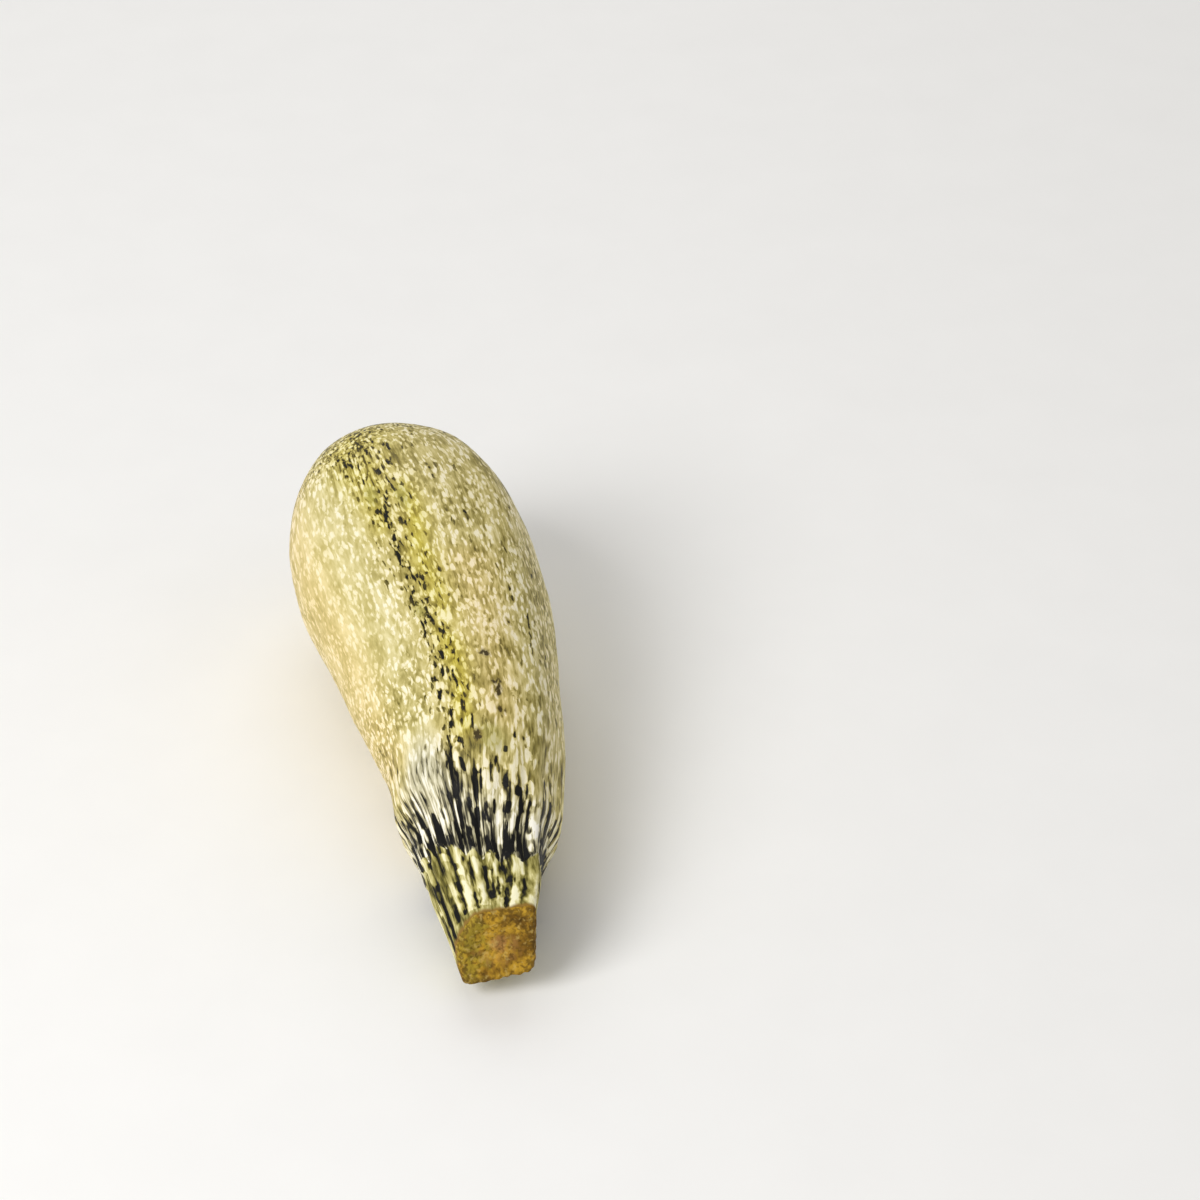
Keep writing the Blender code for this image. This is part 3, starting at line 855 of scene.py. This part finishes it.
def stem_colour(rind, fine):
    """(colour, fibre) of the stem: cream and green ridges, dark grooves and a brown dry edge at the cut."""
    grain = rind.spread(rind.vector("face"), (1, 1, 0.14))
    fibre = rind.noise(grain, 0.9, 4).outputs["Fac"]
    blotch = rind.noise(rind.spread(rind.vector("face"), (1, 1, 0.3)), 2.6, 2).outputs["Fac"]
    level = rind.plus(rind.times(rind.number("crest"), -0.23), rind.rise(blotch, 0.3, 0.7, 0.42, 0.9))
    level = rind.plus(level, rind.rise(fibre, 0.25, 0.75, -0.22, 0.22))
    green = rind.ramp(with_marks(rind, level, fine), STEM_TONES)
    towards_cut = rind.plus(rind.number("past_collar"), rind.times(blotch, 2))
    dry = rind.rise(towards_cut, DRY_START, DRY_END)
    return rind.mix(dry, green, srgb(*STEM_DRY)), fibre


def scar_colour(rind):
    """Tan, corky blossom scar with a darker rim."""
    face = rind.vector("face")
    cork = rind.noise(face, 0.9, 4).outputs["Fac"]
    tan = rind.mix(rind.rise(cork, 0.25, 0.75), srgb(*SCAR_DARK), srgb(*SCAR_PALE))
    rim = rind.rise(rind.number("from_scar"), 5.2, 6.8)
    return rind.mix(rim, tan, srgb(*SCAR_RIM))


def rind_material():
    """Skin, stem and blossom scar in one material, so that their edges can be ragged."""
    rind = Pattern("zucchini_rind")
    tone, warped, fine = flecks(rind)
    colour, level = skin_colour(rind, tone, warped, fine)
    colour = blemished(rind, colour, level)
    ragged = rind.noise(rind.vector("face"), 1.6, 3).outputs["Fac"]
    edge = rind.plus(rind.number("past_collar"), rind.rise(ragged, 0.2, 0.8, -1.5, 1.5))
    stem, fibre = stem_colour(rind, fine)
    on_stem = rind.rise(edge, -0.4, 0.4)
    colour = rind.mix(on_stem, colour, stem)
    scar_edge = rind.plus(rind.number("from_scar"), rind.rise(ragged, 0.2, 0.8, -0.6, 0.6))
    on_scar = rind.rise(scar_edge, SCAR_END, SCAR_START)
    colour = rind.mix(on_scar, colour, scar_colour(rind))
    pores = rind.noise(rind.vector("face"), 0.5, 2).outputs["Fac"]
    height = rind.plus(rind.times(tone, -0.4), rind.times(pores, 0.5))
    height = rind.plus(height, rind.times(on_stem, fibre))
    rough_ends = rind.times(rind.math("MAXIMUM", on_stem, on_scar), 0.2)
    roughness = rind.plus(rind.rise(pores, 0.2, 0.8, 0.4, 0.56), rough_ends)
    return rind.finish(colour, roughness, height, RIND_BUMP)


def cut_material():
    """The dried cut: mottled ochre with green patches, a reddish middle and a dark rim and lower edge."""
    cut = Pattern("zucchini_cut_face")
    face = cut.vector("face")
    cork = cut.noise(face, 0.8, 4).outputs["Fac"]
    patchy = cut.noise(face, 3.5, 3).outputs["Fac"]
    flat = cut.spread(face, (1, 1, 0))
    middle = cut.node("VectorMath", {"operation": "LENGTH"})
    cut.put(middle.inputs[0], flat)
    out = cut.plus(middle.outputs["Value"], cut.rise(patchy, 0.2, 0.8, -2.5, 2.5))
    place = cut.node("SeparateXYZ", Vector=face)
    colour = cut.mix(cut.rise(patchy, 0.38, 0.6), srgb(*CUT_DARK), srgb(*CUT_OCHRE))
    green = cut.plus(cut.rise(place.outputs["Y"], 1, -5, 0, 0.3), cut.noise(face, 2.2, 3).outputs["Fac"])
    colour = cut.mix(cut.rise(green, 0.62, 0.82, 0, 0.6), colour, srgb(*CUT_GREEN))
    colour = cut.mix(cut.rise(out, 4.5, 0.5, 0, 0.55), colour, srgb(*CUT_MIDDLE))
    under = cut.plus(place.outputs["X"], cut.rise(patchy, 0.2, 0.8, -2, 2))
    colour = cut.mix(cut.rise(under, -4.5, -8, 0, 0.7), colour, srgb(*CUT_BELOW))
    rim = cut.plus(cut.rise(middle.outputs["Value"], 6.2, 7.8, 0, 0.1), cork)
    colour = cut.mix(cut.rise(rim, 0.46, 0.7, 0, 0.7), colour, srgb(*CUT_RIM))
    torn = cut.noise(face, 1.3, 3).outputs["Fac"]
    colour = cut.mix(cut.rise(torn, 0.55, 0.68, 0, 0.5), colour, srgb(*CUT_FIBRE))
    return cut.finish(colour, cut.rise(cork, 0.2, 0.8, 0.7, 0.9), cork, CUT_BUMP)


# Studio, in metres
FLOOR_WIDTH = 6
FLOOR_PALE, FLOOR_DARK = (250, 249, 247), (246, 245, 243)
CAMERA_PLACE = (0.59315, -0.10578, 0.47277)
CAMERA_RIGHT = (0.228183, 0.973611, 0.003818)
CAMERA_UP = (-0.563509, 0.128868, 0.815996)
CAMERA_BACK = (0.793971, -0.188348, 0.578044)
CAMERA_LENS = 100.86
CAMERA_SENSOR = 36
CAMERA_REACH = (0.01, 20)

# Area lights as (name, place, size, power), all aimed at the middle of the fruit
LIGHTS = (
    ("key", (0.45, -0.75, 0.75), 0.6, 8.9),
    ("fill", (0.5, 0.8, 0.6), 0.9, 0.8),
    ("back", (-0.7, 0.1, 0.8), 0.8, 2.8),
)
LIGHTS_AIM = (0, 0, 0.03)
WORLD_COLOUR = (1, 0.99, 0.97, 1)
WORLD_STRENGTH = 0.37


def floor_material():
    """Matt near-white paper with a very faint mottle."""
    paper = Pattern("studio_floor")
    place = paper.node("TexCoord").outputs["Object"]
    mottle = paper.noise(place, 0.02, 3).outputs["Fac"]
    colour = paper.mix(mottle, srgb(*FLOOR_PALE), srgb(*FLOOR_DARK))
    return paper.finish(colour, 0.75, mottle, FLOOR_BUMP)


def make_floor():
    """A wide flat sheet under the fruit."""
    mesh = bpy.data.meshes.new("studio_floor")
    half = FLOOR_WIDTH / 2
    corners = [(-half, -half, 0), (half, -half, 0), (half, half, 0), (-half, half, 0)]
    mesh.from_pydata(corners, [], [(0, 1, 2, 3)])
    mesh.materials.append(floor_material())
    floor = bpy.data.objects.new("studio_floor", mesh)
    bpy.context.scene.collection.objects.link(floor)


def make_lights():
    """The soft lights and the pale world."""
    for name, place, size, power in LIGHTS:
        light = bpy.data.lights.new(name, "AREA")
        light.size, light.energy = size, power
        lamp = bpy.data.objects.new(name, light)
        lamp.location = place
        towards = Vector(LIGHTS_AIM) - Vector(place)
        lamp.rotation_euler = towards.to_track_quat("-Z", "Y").to_euler()
        bpy.context.scene.collection.objects.link(lamp)
    world = bpy.data.worlds.new("studio")
    world.use_nodes = True
    background = world.node_tree.nodes["Background"]
    background.inputs["Color"].default_value = WORLD_COLOUR
    background.inputs["Strength"].default_value = WORLD_STRENGTH
    bpy.context.scene.world = world
    bpy.context.scene.view_settings.view_transform = "Standard"


def make_camera():
    """The camera at the photo's viewing angle and framing."""
    data = bpy.data.cameras.new("camera")
    data.lens, data.sensor_width = CAMERA_LENS, CAMERA_SENSOR
    data.clip_start, data.clip_end = CAMERA_REACH
    camera = bpy.data.objects.new("camera", data)
    axes = Matrix((CAMERA_RIGHT, CAMERA_UP, CAMERA_BACK)).transposed()
    camera.matrix_world = Matrix.Translation(CAMERA_PLACE) @ axes.to_4x4()
    bpy.context.scene.collection.objects.link(camera)
    bpy.context.scene.camera = camera


def main():
    fruit = make_fruit([rind_material(), cut_material()])
    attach(fruit, "root")
    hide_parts(NODE)
    make_floor()
    make_lights()
    make_camera()


main()
